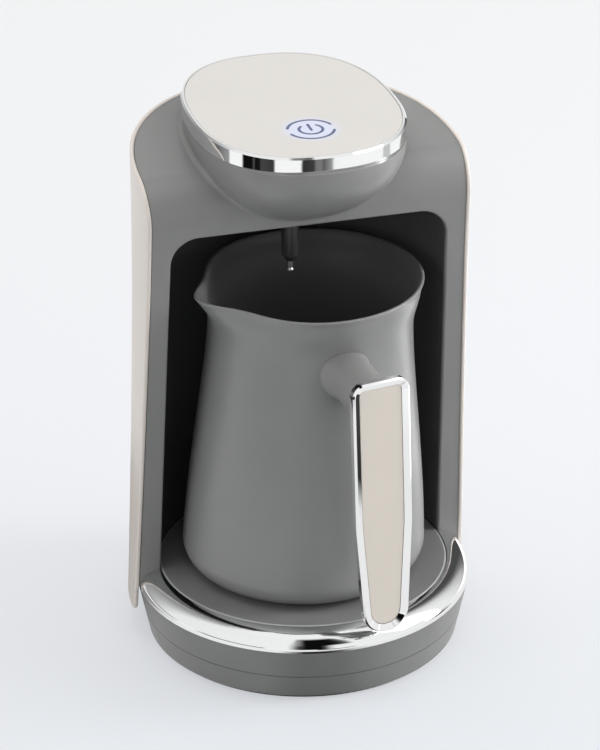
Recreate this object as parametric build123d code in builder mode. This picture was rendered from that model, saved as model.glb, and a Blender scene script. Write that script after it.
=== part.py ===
from build123d import *
from math import copysign, cos, exp, pi, radians, sin
import os

# Electric Turkish coffee maker: a round base with a heating plate, a tower that rises behind it
# and carries a head, and a jug that stands on the plate and is drawn out to the front.
# z = 0 is the table, x = y = 0 is the centre of the base circle, and the front faces -Y.
# All sizes are in millimetres.

os.makedirs("parts", exist_ok=True)

# ------------------------------------------------------------------ walls, gaps and fixings
wall = 2.2  # plain moulded wall
gap = 0.2  # between pieces of the housing that fit into each other
running_gap = 0.3  # between the jug and what it stands on
screw_radius = 1.5
screw_head_radius = 3.0
screw_head_height = 1.8
screw_fit = 0.05
boss_radius = 3.8

# ------------------------------------------------------------------ base
foot_proud = 1.5  # rubber ring below the underside
seam_height = 13.4  # joint between the bottom cover and the base housing
trim_foot_height = 27.7  # lower edge of the chrome trim
plate_height = 35.9  # top of the heating plate
plate_radius = 67.5
plate_edge_gap = 0.3
dome_width = 10.2  # from the plate's edge to the base's outside
base_taper = 5.5  # how much narrower the base is at the table
base_radius = plate_radius + plate_edge_gap + dome_width  # at the lower edge of the trim
base_floor_radius = base_radius - base_taper
trim_thickness = 1.4
seam_gap = 0.3
housing_split_y = 3.3  # the base's dome lies in front of this, the tower's deck behind it
foot_ring_outer = base_floor_radius - 2.2
foot_ring_inner = foot_ring_outer - 4.0
foot_groove_depth = 1.0
ledge_width = 8.0
ledge_radius = plate_radius - ledge_width  # inner edge of the ledge that carries the plate
ledge_thickness = 2.4
plate_thickness = 1.5
plate_rim_depth = 2.6
seal_height = 1.4
seal_width = 3.0
base_screw_circle = ledge_radius + 3.0
base_screw_angles = (45, 135, 225, 315)
base_screw_length = 14.0
tower_screw_circle = plate_radius + 5.9
tower_screw_angles = (25, 65, 115, 155)
tower_screw_length = 8.0
plate_bush_circle = ledge_radius - 3.9
plate_bush_radius = 2.8
plate_bush_angles = (90, 210, 330)
clip_thickness = 1.5
clip_reach = ledge_radius + 4.5
vent_count = 7
vent_length = 26.0
vent_width = 2.4
vent_pitch = 6.0

# ------------------------------------------------------------------ levels above the plate
jug_height = 143.5
jug_headroom = 31.1  # from the jug's rim to the ceiling over it
front_height = 26.3  # from that ceiling to the top of the front curve
bowl_rise = 11.1  # how far the bowl stands above the front curve
ring_seat = 1.9  # upright band between the bowl and the chrome ring
ring_height = 7.3
jug_foot = plate_height + running_gap
jug_top = jug_foot + jug_height
cavity_ceiling = jug_top + jug_headroom
shoulder_height = cavity_ceiling + front_height
bowl_round_top = shoulder_height + bowl_rise
head_ring_foot = bowl_round_top + ring_seat
head_top = head_ring_foot + ring_height

# ------------------------------------------------------------------ heater, under the plate
spreader_radius = plate_bush_circle - 3.6
element_radius = 40.0  # centre line of the tube
element_tube_radius = 3.3
element_sink = 1.5
groove_radius = element_tube_radius + 0.1
groove_cover = 0.6
spreader_thickness = groove_radius - element_sink + groove_cover
element_gap_angle = 50.0  # open part of the horseshoe, at the back
element_drop = 12.0  # length of the cold ends
tab_length = 6.0  # flat terminals that the wires are pushed onto
tab_width = 4.0
tab_thickness = 0.9
clamp_thickness = 1.5
clamp_arm_width = 9.0
clamp_arms = 3
clamp_screw_circle = 30.0
clamp_screw_length = 5.5
thermostat_radius = 7.2
thermostat_height = 7.0
fuse_radius = 2.0
fuse_length = 14.0
fuse_y = -20.0

# ------------------------------------------------------------------ power board and mains inlet
board_thickness = 1.6
power_board_length = 78.0
power_board_width = 44.0
power_board_y = -28.0
power_board_height = 8.0  # underside, above the table
terminal_y = plate_radius - 25.5
terminal_length = 26.0
terminal_lift = 1.0
inlet_height = 7.6
inlet_bore_radius = 3.2
inlet_bush_radius = 5.0
inlet_flange_radius = 5.6
inlet_flange_thickness = 1.4
inlet_depth = 6.0

# ------------------------------------------------------------------ tower
tower_foot_height = 14.5  # lower edge of the rear shell
tower_foot_half_width = base_radius + 2.8
tower_top_half_width = tower_foot_half_width - 5.2
tower_flare_height = 200.0  # the sides are upright above this
tower_flare_power = 1.4
tower_rear_extra = 3.4  # how much deeper than wide the rear half is
tower_plan_power = 2.3
shell_wall = 1.9
panel_lean = 0.0927  # forward lean of the front panel, per unit of height
panel_y_at_table = 6.41  # where the leaning plane meets the table level
shoulder_rise = 0.125  # slope of the shoulder towards the back
shoulder_front_y = 2.0
shoulder_radius = 19.0
panel_reveal = 0.5  # the front cover lies this far inside the shell's rim
rim_round = 0.7
niche_round = 1.0  # edge of the niche in the front panel
tower_foot_round = 5.0
cover_wall = 2.4
cover_lip_depth = 9.0
cover_lip_wall = 1.8

# ------------------------------------------------------------------ cavity behind the front panel
cavity_foot_half_width = plate_radius + 0.4  # at the heating plate
cavity_top_half_width = cavity_foot_half_width - 3.9  # at the ceiling
cavity_corner_radius = 13.0
liner_wall = 2.0
liner_foot_flange = 5.0
flange_front_y = 16.0  # the liner's foot flange starts behind this

# ------------------------------------------------------------------ head
head_plan_power = 2.4
head_half_width = 47.8
head_front_reach = 58.9  # from the head's centre to its front
head_rear_reach = 64.7
head_centre_y = 14.8
head_ring_wall = 1.7
head_ring_ledge = 4.5
head_ring_ledge_height = 1.6
head_ring_bevel = 0.8
panel_thickness = 2.5
bowl_depth = 54.0  # height over which the bowl's parabola would close
bowl_centre_shift = 22.7  # how far back the closing point lies
bowl_half_width = head_half_width - 0.5
bowl_reach = 61.0
bowl_wall = 2.2
bowl_blend = 2.0  # between the bowl and the panel

# ------------------------------------------------------------------ control panel under the head's top
icon_y = -12.8
light_guide_radius = 12.0
light_guide_height = 2.0
touch_board_half_x = 30.0
touch_board_half_y = 34.0
touch_board_post_radius = 2.6
buzzer_radius = 6.0
buzzer_height = 6.5

# ------------------------------------------------------------------ foam probe, over the jug
probe_x = -5.9
probe_y = 0.0
probe_radius = 3.9
probe_tip_radius = 1.1
probe_ball_radius = 1.5
probe_tip_end = jug_top + 3.0
probe_tip_length = 6.1
probe_tip_seat = 12.0  # depth of the tip's bore in the stem
probe_taper_length = 3.0
probe_collar_radius = 6.4
probe_collar_height = 1.6
probe_shank_radius = 3.0
probe_shank_rise = 9.0
probe_nut_width = 10.0
probe_nut_height = 3.6

# ------------------------------------------------------------------ jug
jug_turn = 9.0  # degrees from straight ahead, anticlockwise from above
jug_foot_radius = 56.8
jug_waist_radius = 47.0
jug_rim_radius = 51.8
jug_neck_height = 22.5  # from the waist up to the rim
jug_belly_power = 1.7  # how long the wall stays steep above the foot
jug_waist_power = 1.5  # how softly the wall runs into the waist
jug_neck_power = 1.5
jug_wall = 2.0
jug_floor = 3.0
jug_foot_round = 11.0
jug_rim_round = 0.6
jug_lean = 4.6  # how far the rim stands off the foot's centre, away from the lip
lip_turn = 1.5  # degrees that the lip stands off the square to the handle
lip_reach = 10.1  # how far the pouring lip is drawn out
lip_width = 16.3  # degrees over which it fades to each side
lip_hollow = 3.2  # how far the rim is drawn in beside the lip
lip_hollow_width = 48.0
lip_depth = 17.0  # height over which the lip grows out of the neck
lip_growth = 1.3
stud_radius = 5.0
stud_reach = 5.5

# ------------------------------------------------------------------ jug handle
handle_top_reach = 81.0  # from the jug's axis to the handle's face, at its top
handle_foot_reach = 89.6
handle_top_height = jug_top - 16.2
handle_foot_height = plate_height + 5.3
handle_half_width = 13.9
handle_foot_half_width = 10.4
handle_taper_start = -8.0  # along the handle, from its middle
handle_corner = 6.0
handle_foot_corner = 10.4
handle_taper_round = 90.0
handle_thickness = 9.0
bezel_thickness = 4.6
bezel_edge_bevel = 0.7
bezel_ridge = 0.4  # flat between the bevel and the inner slope
bezel_width = 3.5  # from the outside to the insert
bezel_back_bevel = 1.0
bezel_back_wall = 1.8
bezel_channel = 0.7  # depth of the recess that takes the core
insert_depth = 1.2  # how far the insert lies below the bezel's ridge
insert_thickness = 1.4
insert_round = 0.4
core_taper = 2.5  # how much the core narrows towards its back
core_land = 0.4  # straight part of the core behind the bezel
post_height = jug_top - 29.2  # of the handle's screw
post_rise = 10.7  # the post's top above the screw
post_fall = 9.9
post_half_width = 10.3
post_plan_power = 2.2
post_flare = 2.2  # how much it swells to the jug
post_top_drop = 3.6  # how much it sinks at the top towards the handle
post_foot_drop = 5.0
post_narrowing = 0.9
post_start_reach = jug_waist_radius - 3.0
post_neck_reach = post_start_reach + 12.0
post_end_reach = 76.0
handle_screw_radius = 2.0
handle_screw_head = 3.6
handle_screw_head_height = 1.1
handle_screw_sink = 0.7  # the head's seat below the core's front

# ------------------------------------------------------------------ wiring between base and head
loom_radius = 2.2
loom_y = plate_radius + 6.1  # behind the cavity
loom_foot_y = plate_radius + 5.3  # where it passes the tower's foot
loom_bend = 6.0
loom_board_y = 32.0
loom_notch_width = 8.0
loom_notch_depth = 8.0


# ================================================================== shared outlines and tools
tool_reach = 120.0  # cutting bodies run this far past the object


def superellipse(half_x, front, rear, centre_y, power, count=32):
    """Points of an oval whose front and rear halves may reach differently far."""
    points = []
    for step in range(count):
        angle = 2 * pi * step / count
        x = half_x * copysign(abs(cos(angle)) ** (2 / power), cos(angle))
        reach = rear if sin(angle) > 0 else front
        y = centre_y + reach * copysign(abs(sin(angle)) ** (2 / power), sin(angle))
        points.append((x, y))
    return points


def even_steps(low, high, count):
    """Evenly spaced heights, so that a loft through them runs smoothly."""
    return [low + (high - low) * step / (count - 1) for step in range(count)]


def tower_half_width(z):
    """Half width of the tower's outside at a height: upright above, flaring below."""
    drop = max(0, tower_flare_height - z) / (tower_flare_height - tower_foot_height)
    return tower_top_half_width + (tower_foot_half_width - tower_top_half_width) * drop**tower_flare_power


def tower_column(inset):
    """The tower as a whole closed column, its outside moved in by inset."""
    with BuildPart() as column:
        for z in even_steps(tower_foot_height - 6.5, head_top + 2.6, 8):
            half = tower_half_width(z) - inset
            deep = half + tower_rear_extra
            with BuildSketch(Plane.XY.offset(z)):
                with BuildLine():
                    Spline(*superellipse(half, deep, deep, 0, tower_plan_power), periodic=True)
                make_face()
        loft()
    return column.part


def panel_y(z):
    return panel_y_at_table - panel_lean * z


def front_profile(inset, low=-10, low_round=0):
    """Everything behind the front panel and under the shoulder, as a prism across the tower."""
    shoulder_end = shoulder_height + shoulder_rise * (tool_reach - shoulder_front_y)
    with BuildPart() as prism:
        with BuildSketch(Plane.YZ) as outline:
            with BuildLine():
                front_top = shoulder_height - shoulder_rise * (shoulder_front_y - panel_y(shoulder_height))
                Polyline(
                    (panel_y(low) + inset, low),
                    (panel_y(front_top) + inset, front_top - inset),
                    (tool_reach, shoulder_end - inset),
                    (tool_reach, low),
                    close=True,
                )
            make_face()
            fillet(outline.vertices().sort_by(Axis.X)[0], shoulder_radius - inset)
            if low_round:
                fillet(outline.vertices().group_by(Axis.Y)[0].sort_by(Axis.X)[0], low_round)
        extrude(amount=tool_reach, both=True)
    return prism.part


def cavity_half_width(z):
    share = (z - plate_height) / (cavity_ceiling - plate_height)
    return cavity_foot_half_width + (cavity_top_half_width - cavity_foot_half_width) * share


def cavity_block(extra, low):
    """The space behind the front opening: half a cone at the back, open to the front."""
    top = cavity_ceiling + extra
    with BuildPart() as block:
        for z in (low, top):
            half = cavity_half_width(z) + extra
            with BuildSketch(Plane.XY.offset(z)):
                Circle(half)
                with Locations((0, -half / 2)):
                    Rectangle(2 * half, half)
        loft(ruled=True)
        fillet(block.faces().sort_by(Axis.Z)[-1].edges(), cavity_corner_radius + extra)
    return block.part


def head_outline(inset):
    return superellipse(
        head_half_width - inset,
        head_front_reach - inset,
        head_rear_reach - inset,
        head_centre_y,
        head_plan_power,
    )


def bowl_block(inset):
    """The head's bowl below the ring, each section shrinking and moving back as it goes down."""
    with BuildPart() as block:
        for z in even_steps(bowl_round_top - 0.8 * bowl_depth, bowl_round_top, 7):
            drop = (bowl_round_top - z) / bowl_depth
            scale = 1 - drop**2
            centre = head_centre_y + bowl_centre_shift * (1 - scale)
            half = bowl_half_width * scale - inset
            reach = bowl_reach * scale - inset
            with BuildSketch(Plane.XY.offset(z)):
                with BuildLine():
                    Spline(*superellipse(half, reach, reach, centre, head_plan_power), periodic=True)
                make_face()
        loft()
        extrude(block.faces().sort_by(Axis.Z)[-1], head_ring_foot - bowl_round_top)
    return block.part


def base_side_radius(z):
    share = (z - foot_proud) / (trim_foot_height - foot_proud)
    return base_floor_radius + (base_radius - base_floor_radius) * share


def screw(x, y, seat, length, direction=1):
    """A pan-head screw standing on seat; the shank runs up (1) or down (-1) from it."""
    with BuildPart(Plane((x, y, seat), z_dir=(0, 0, direction))) as fastener:
        Cylinder(screw_radius, length, align=(Align.CENTER, Align.CENTER, Align.MIN))
        Cylinder(screw_head_radius, screw_head_height, align=(Align.CENTER, Align.CENTER, Align.MAX))
        fillet(fastener.faces().sort_by(Axis.Z)[0 if direction > 0 else -1].edges(), 0.5)
    return fastener.part


def on_circle(radius, angles):
    return [(radius * cos(radians(angle)), radius * sin(radians(angle))) for angle in angles]


deck_height = trim_foot_height - gap / 2
leg_foot = deck_height + gap
outer_column = tower_column(0)
inner_column = tower_column(shell_wall)
cover_column = tower_column(shell_wall + gap)
lip_column = tower_column(shell_wall + gap + cover_lip_wall)
rim_prism = front_profile(0, tower_foot_height, tower_foot_round)
cover_prism = front_profile(panel_reveal, leg_foot)
cover_back_prism = front_profile(panel_reveal + cover_wall)
cover_lip_prism = front_profile(panel_reveal + cover_lip_depth)
liner_prism = front_profile(panel_reveal + cover_wall + gap / 2)
trim_prism = front_profile(panel_reveal - gap)
cavity_space = cavity_block(0, leg_foot - 1)
liner_block = cavity_block(liner_wall, leg_foot)
bowl_outside = bowl_block(0)
bowl_inside = bowl_block(bowl_wall)

# ================================================================== base
with BuildPart() as foot_ring:
    with BuildSketch():
        Circle(foot_ring_outer)
        Circle(foot_ring_inner, mode=Mode.SUBTRACT)
    extrude(amount=foot_proud + foot_groove_depth)
    fillet(foot_ring.faces().sort_by(Axis.Z)[0].edges(), 0.5)
foot_ring.part.label = "foot_ring"

floor_top = foot_proud + wall
cover_top = seam_height - seam_gap / 2
socket_top = floor_top + 3.4  # the screws' seats in the bottom cover
screw_seat = foot_proud + screw_head_height + 0.4
screw_places = on_circle(base_screw_circle, base_screw_angles)
with BuildPart() as bottom_cover:
    with BuildSketch(Plane.XZ):
        with BuildLine():
            Polyline(
                (0, foot_proud),
                (base_floor_radius, foot_proud),
                (base_side_radius(cover_top), cover_top),
                (base_side_radius(cover_top) - wall, cover_top),
                (base_floor_radius - wall, floor_top),
                (0, floor_top),
                close=True,
            )
        make_face()
    revolve(axis=Axis.Z)
    fillet(bottom_cover.edges().filter_by(GeomType.CIRCLE).group_by(Axis.Z)[0], 1.6)
    with BuildSketch(Plane.XY.offset(foot_proud)):
        Circle(foot_ring_outer + gap / 2)
        Circle(foot_ring_inner - gap / 2, mode=Mode.SUBTRACT)
    extrude(amount=foot_groove_depth, mode=Mode.SUBTRACT)
    with BuildSketch(Plane.XY.offset(floor_top)):
        with Locations(*screw_places):
            Circle(boss_radius + 0.8)
    extrude(amount=socket_top - floor_top)
    with BuildSketch(Plane.XY.offset(foot_proud)):
        with Locations(*screw_places):
            Circle(screw_head_radius + gap)
    extrude(amount=screw_seat - foot_proud, mode=Mode.SUBTRACT)
    with BuildSketch(Plane.XY.offset(foot_proud)):
        with Locations(*screw_places):
            Circle(screw_radius + gap)
    extrude(amount=socket_top, mode=Mode.SUBTRACT)
    with BuildSketch(Plane.XY.offset(foot_proud)):
        with GridLocations(vent_pitch, 1, vent_count, 1):
            SlotOverall(vent_length, vent_width, rotation=90)
    extrude(amount=wall, mode=Mode.SUBTRACT)
    with BuildSketch(Plane.XZ.offset(-base_side_radius(cover_top))):
        with Locations((0, inlet_height)):
            Circle(inlet_bush_radius + gap / 2)
    extrude(amount=-10, both=True, mode=Mode.SUBTRACT)
    with BuildSketch(Plane.XY.offset(floor_top)):
        with Locations((0, terminal_y)):
            with GridLocations(terminal_length - 6, 1, 2, 1):
                Circle(1.9)
    extrude(amount=terminal_lift - gap / 2)
    with BuildSketch(Plane.XY.offset(floor_top)):
        with Locations((0, power_board_y)):
            with GridLocations(power_board_length - 8, power_board_width - 8, 2, 2):
                Circle(2.4)
    extrude(amount=power_board_height - floor_top)
bottom_cover.part.label = "bottom_cover"

dome_radius = base_radius - plate_radius - plate_edge_gap
dome_rise = plate_height - trim_foot_height
dome_foot = plate_radius + plate_edge_gap


def dome(thickness):
    """Quarter oval under the trim's outside, moved in by thickness."""
    return EllipticalCenterArc(
        (dome_foot, trim_foot_height),
        dome_radius - thickness,
        dome_rise - thickness,
        arc_size=90,
    )


with BuildPart() as chrome_base_trim:
    with BuildSketch(Plane.XZ):
        with BuildLine():
            outer = dome(0)
            inner = dome(trim_thickness)
            Line(outer @ 0, inner @ 0)
            Line(outer @ 1, inner @ 1)
        make_face()
    revolve(axis=Axis.Z)
    add(trim_prism, mode=Mode.SUBTRACT)
chrome_base_trim.part.label = "chrome_base_trim"

ledge_top = plate_height - plate_thickness - seal_height
ledge_foot = ledge_top - ledge_thickness
housing_foot = seam_height + seam_gap / 2
housing_inner = base_side_radius(housing_foot) - wall
deck_thickness = 2.4
collar_radius = plate_radius + gap
with BuildPart() as base_front:
    with BuildSketch(Plane.XZ):
        with BuildLine():
            top_line = dome(trim_thickness + gap / 2)
            under_line = dome(trim_thickness + wall)
            dome_edge = dome_foot + dome_radius - trim_thickness - gap / 2
            shoulder_out = Line((base_radius, deck_height), (dome_edge, deck_height))
            Line(shoulder_out @ 1, top_line @ 0)
            Line(shoulder_out @ 0, (base_side_radius(housing_foot), housing_foot))
            Line((base_side_radius(housing_foot), housing_foot), (housing_inner, housing_foot))
            Line((housing_inner, housing_foot), under_line @ 0)
            Line(under_line @ 1, (dome_foot, ledge_foot))
            Polyline(
                (dome_foot, ledge_foot),
                (ledge_radius, ledge_foot),
                (ledge_radius, ledge_top),
                (dome_foot, ledge_top),
                top_line @ 1,
            )
        make_face()
    revolve(axis=Axis.Z)
    split(bisect_by=Plane.XZ.offset(-housing_split_y), keep=Keep.TOP)

with BuildPart() as base_housing:
    with BuildSketch(Plane.XZ):
        with BuildLine():
            Polyline(
                (base_side_radius(housing_foot), housing_foot),
                (base_radius, deck_height),
                (collar_radius, deck_height),
                (collar_radius, ledge_top),
                (ledge_radius, ledge_top),
                (ledge_radius, ledge_foot),
                (collar_radius - wall, ledge_foot),
                (collar_radius - wall, deck_height - deck_thickness),
                (base_side_radius(deck_height) - wall - 0.6, deck_height - deck_thickness),
                (housing_inner, housing_foot),
                close=True,
            )
        make_face()
    revolve(axis=Axis.Z)
    split(bisect_by=Plane.XZ.offset(-housing_split_y), keep=Keep.BOTTOM)
    add(base_front.part)
    with BuildSketch(Plane.XY.offset(socket_top + gap)):
        with Locations(*screw_places):
            Circle(boss_radius)
    extrude(amount=ledge_foot - socket_top - gap)
    with BuildSketch(Plane.XY.offset(socket_top + gap)):
        with Locations(*screw_places):
            Circle(screw_radius + screw_fit)
    extrude(amount=base_screw_length, mode=Mode.SUBTRACT)
    with BuildSketch(Plane.XY.offset(deck_height - tower_screw_length - 1)):
        with Locations(*on_circle(tower_screw_circle, tower_screw_angles)):
            Circle(3.0)
    extrude(amount=tower_screw_length)
    with BuildSketch(Plane.XY.offset(deck_height - tower_screw_length)):
        with Locations(*on_circle(tower_screw_circle, tower_screw_angles)):
            Circle(screw_radius + screw_fit)
    extrude(amount=tower_screw_length + 1, mode=Mode.SUBTRACT)
    with BuildSketch(Plane.XY.offset(deck_height - deck_thickness - 1)):
        with Locations((0, collar_radius + loom_notch_depth / 2)):
            Rectangle(loom_notch_width, loom_notch_depth)
    extrude(amount=deck_thickness + 2, mode=Mode.SUBTRACT)
base_housing.part.label = "base_housing"

plate_underside = plate_height - plate_thickness
bush_places = on_circle(plate_bush_circle, plate_bush_angles)
with BuildPart() as heating_plate:
    with BuildSketch(Plane.XZ):
        with BuildLine():
            Polyline(
                (0, plate_height),
                (plate_radius, plate_height),
                (plate_radius, plate_height - plate_rim_depth),
                (plate_radius - plate_thickness, plate_height - plate_rim_depth),
                (plate_radius - plate_thickness, plate_underside),
                (0, plate_underside),
                close=True,
            )
        make_face()
    revolve(axis=Axis.Z)
    fillet(heating_plate.faces().sort_by(Axis.Z)[-1].edges(), 0.8)
    with BuildSketch(Plane.XY.offset(ledge_foot - 0.1)):
        with Locations(*bush_places):
            Circle(plate_bush_radius)
    extrude(amount=plate_underside - ledge_foot + 0.1)
    with BuildSketch(Plane.XY.offset(ledge_foot - 0.1)):
        with Locations(*bush_places):
            Circle(screw_radius + screw_fit)
    extrude(amount=plate_underside - ledge_foot - 0.4, mode=Mode.SUBTRACT)
heating_plate.part.label = "heating_plate"

with BuildPart() as plate_seal:
    with BuildSketch(Plane.XY.offset(ledge_top)):
        Circle(plate_radius - plate_thickness - gap)
        Circle(plate_radius - plate_thickness - gap - seal_width, mode=Mode.SUBTRACT)
    extrude(amount=seal_height)
plate_seal.part.label = "plate_seal"

# ================================================================== heater
spreader_top = plate_underside - 0.1
spreader_foot = spreader_top - spreader_thickness
element_height = spreader_foot - element_sink
clamp_top = element_height - element_tube_radius - 0.1
clamp_angles = [90 + 360 * arm / clamp_arms for arm in range(clamp_arms)]
clamp_places = on_circle(clamp_screw_circle, clamp_angles)
with BuildPart() as heat_spreader:
    with BuildSketch(Plane.XY.offset(spreader_foot)):
        Circle(spreader_radius)
    extrude(amount=spreader_thickness)
    with BuildSketch(Plane.XY.offset(clamp_top)):
        with Locations(*clamp_places):
            Circle(3.4)
    extrude(amount=spreader_foot - clamp_top)
    with BuildSketch(Plane.XZ):
        with Locations((element_radius, element_height)):
            Circle(groove_radius)
    revolve(axis=Axis.Z, mode=Mode.SUBTRACT)
    with BuildSketch(Plane.XY.offset(clamp_top)):
        with Locations(*clamp_places):
            Circle(screw_radius + screw_fit)
    extrude(amount=clamp_screw_length, mode=Mode.SUBTRACT)
heat_spreader.part.label = "heat_spreader"

half_gap = element_gap_angle / 2
cold_x = element_radius * sin(radians(half_gap))
cold_y = element_radius * cos(radians(half_gap))
cold_ends = ((cold_x, cold_y), (-cold_x, cold_y))
with BuildPart() as heating_element:
    with BuildSketch(Plane.XZ):
        with Locations((element_radius, element_height)):
            Circle(element_tube_radius)
    revolve(axis=Axis.Z)
    with BuildSketch(Plane.XY.offset(element_height)):
        with BuildLine():
            Polyline((0, 0), (2 * cold_x, 2 * cold_y), (-2 * cold_x, 2 * cold_y), close=True)
        make_face()
    extrude(amount=2 * element_tube_radius, both=True, mode=Mode.SUBTRACT)
    with BuildSketch(Plane.XY.offset(element_height - element_drop)):
        with Locations(*cold_ends):
            Circle(element_tube_radius)
    extrude(amount=element_drop)
    with Locations((cold_x, cold_y, element_height), (-cold_x, cold_y, element_height)):
        Sphere(element_tube_radius)
    with BuildSketch(Plane.XY.offset(element_height - element_drop - tab_length)):
        with Locations(*cold_ends):
            Rectangle(tab_thickness, tab_width)
    extrude(amount=tab_length)
heating_element.part.label = "heating_element"

with BuildPart() as heater_clamp:
    with BuildSketch(Plane.XY.offset(clamp_top - clamp_thickness)):
        Circle(thermostat_radius + 5)
        for angle in clamp_angles:
            with PolarLocations((element_radius + element_tube_radius + 1) / 2, 1, start_angle=angle):
                Rectangle(element_radius + element_tube_radius + 1, clamp_arm_width)
        Circle(thermostat_radius + 1, mode=Mode.SUBTRACT)
        with Locations(*clamp_places):
            Circle(screw_radius + gap, mode=Mode.SUBTRACT)
    extrude(amount=clamp_thickness)
heater_clamp.part.label = "heater_clamp"

clamp_screws = [
    screw(x, y, clamp_top - clamp_thickness, clamp_screw_length + clamp_thickness - 0.5) for x, y in clamp_places
]

with BuildPart() as thermostat:
    with BuildSketch(Plane.XY.offset(spreader_foot - 0.1 - thermostat_height)):
        Circle(thermostat_radius)
    extrude(amount=thermostat_height)
    with BuildSketch(Plane.XY.offset(spreader_foot - 0.1 - thermostat_height - tab_length)):
        with GridLocations(thermostat_radius, 1, 2, 1):
            Rectangle(tab_width, tab_thickness)
    extrude(amount=tab_length)
thermostat.part.label = "thermostat"

with BuildPart(Plane.YZ) as thermal_fuse:
    with BuildSketch(Plane.YZ.offset(-fuse_length / 2)):
        with Locations((fuse_y, spreader_foot - fuse_radius - 0.1)):
            Circle(fuse_radius)
    extrude(amount=fuse_length)
    with BuildSketch(Plane.YZ.offset(-fuse_length / 2 - 4)):
        with Locations((fuse_y, spreader_foot - fuse_radius - 0.1)):
            Circle(0.6)
    extrude(amount=fuse_length + 8)
thermal_fuse.part.label = "thermal_fuse"

with BuildPart() as plate_clips:
    for angle in plate_bush_angles:
        inward = plate_bush_circle - 4.2
        with BuildSketch(Plane.XY.offset(ledge_foot - 0.1 - clip_thickness)):
            with PolarLocations((inward + clip_reach) / 2, 1, start_angle=angle):
                Rectangle(clip_reach - inward, 8)
            with PolarLocations(plate_bush_circle, 1, start_angle=angle):
                Circle(screw_radius + gap, mode=Mode.SUBTRACT)
        extrude(amount=clip_thickness)
plate_clips.part.label = "plate_clips"

plate_screws = [screw(x, y, ledge_foot - 0.1 - clip_thickness, clip_thickness + 3.2) for x, y in bush_places]

# ================================================================== power supply and mains inlet
with BuildPart() as power_board:
    with BuildSketch(Plane.XY.offset(power_board_height + 0.05)):
        with Locations((0, power_board_y)):
            RectangleRounded(power_board_length, power_board_width, 3)
    extrude(amount=board_thickness)
power_board.part.label = "power_board"

board_top = power_board_height + 0.05 + board_thickness
component_blocks = (
    ((-26, -28), (16, 12), 11.0),  # relay
    ((-4, -31), (18, 15), 12.0),  # transformer
    ((26, -38), (12, 8), 8.0),  # connector
)
with BuildPart() as power_components:
    for place, size, tall in component_blocks:
        with BuildSketch(Plane.XY.offset(board_top)):
            with Locations(place):
                RectangleRounded(*size, 1)
        extrude(amount=tall)
    with BuildSketch(Plane.XY.offset(board_top)):
        with Locations((22, -20), (12, -16)):
            Circle(4)
    extrude(amount=11)
power_components.part.label = "power_components"

with BuildPart() as terminal_block:
    with BuildSketch(Plane.XY.offset(floor_top + terminal_lift)):
        with Locations((0, terminal_y)):
            Rectangle(terminal_length, 10)
    extrude(amount=9)
    with BuildSketch(Plane.XZ.offset(-terminal_y + 10)):
        with Locations((0, floor_top + terminal_lift + 4)):
            with GridLocations(8, 1, 3, 1):
                Circle(1.7)
    extrude(amount=-30, mode=Mode.SUBTRACT)
terminal_block.part.label = "terminal_block"

inlet_outside = base_side_radius(inlet_height + inlet_flange_radius) + gap / 2
with BuildPart() as cord_gland:
    with BuildSketch(Plane.XZ.offset(-(inlet_outside + inlet_flange_thickness))):
        with Locations((0, inlet_height)):
            Circle(inlet_flange_radius)
    extrude(amount=inlet_flange_thickness)
    with BuildSketch(Plane.XZ.offset(-(inlet_outside - inlet_depth))):
        with Locations((0, inlet_height)):
            Circle(inlet_bush_radius)
    extrude(amount=-inlet_depth - inlet_flange_thickness / 2)
    with BuildSketch(Plane.XZ.offset(-(inlet_outside - inlet_depth - 1))):
        with Locations((0, inlet_height)):
            Circle(inlet_bore_radius)
    extrude(amount=-30, mode=Mode.SUBTRACT)
cord_gland.part.label = "cord_gland"

# ================================================================== tower
with BuildPart() as rear_shell:
    add(outer_column)
    add(rim_prism, mode=Mode.INTERSECT)
    add(inner_column, mode=Mode.SUBTRACT)
    fillet(rear_shell.edges().filter_by(GeomType.BSPLINE), rim_round)
rear_shell.part.label = "rear_shell"

def on_niche_edge(edge):
    """True for the edges where the niche opens in the front panel."""
    middle = edge @ 0.5
    on_panel = abs(middle.Y - panel_y(middle.Z) - panel_reveal) < 0.1
    inside = abs(middle.X) < cavity_half_width(middle.Z) + 0.1 and middle.Z < cavity_ceiling + 0.1
    return on_panel and inside


def on_bowl_foot(edge):
    """True for the edges where the bowl grows out of the panel and the shoulder's curve."""
    middle = edge @ 0.5
    low = middle.Z < shoulder_height and abs(middle.X) < bowl_half_width
    return low and middle.Y < 0 and edge.geom_type == GeomType.BSPLINE


with BuildPart() as front_cover:
    add(cover_column)
    add(cover_prism, mode=Mode.INTERSECT)
    add(bowl_outside)
    fillet(front_cover.edges().filter_by(on_bowl_foot), bowl_blend)
    add(lip_column & cover_back_prism, mode=Mode.SUBTRACT)
    add(cover_lip_prism, mode=Mode.SUBTRACT)
    add(bowl_inside, mode=Mode.SUBTRACT)
    add(cavity_space, mode=Mode.SUBTRACT)
    fillet(front_cover.edges().filter_by(on_niche_edge), niche_round)
front_cover.part.label = "front_cover"

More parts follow.
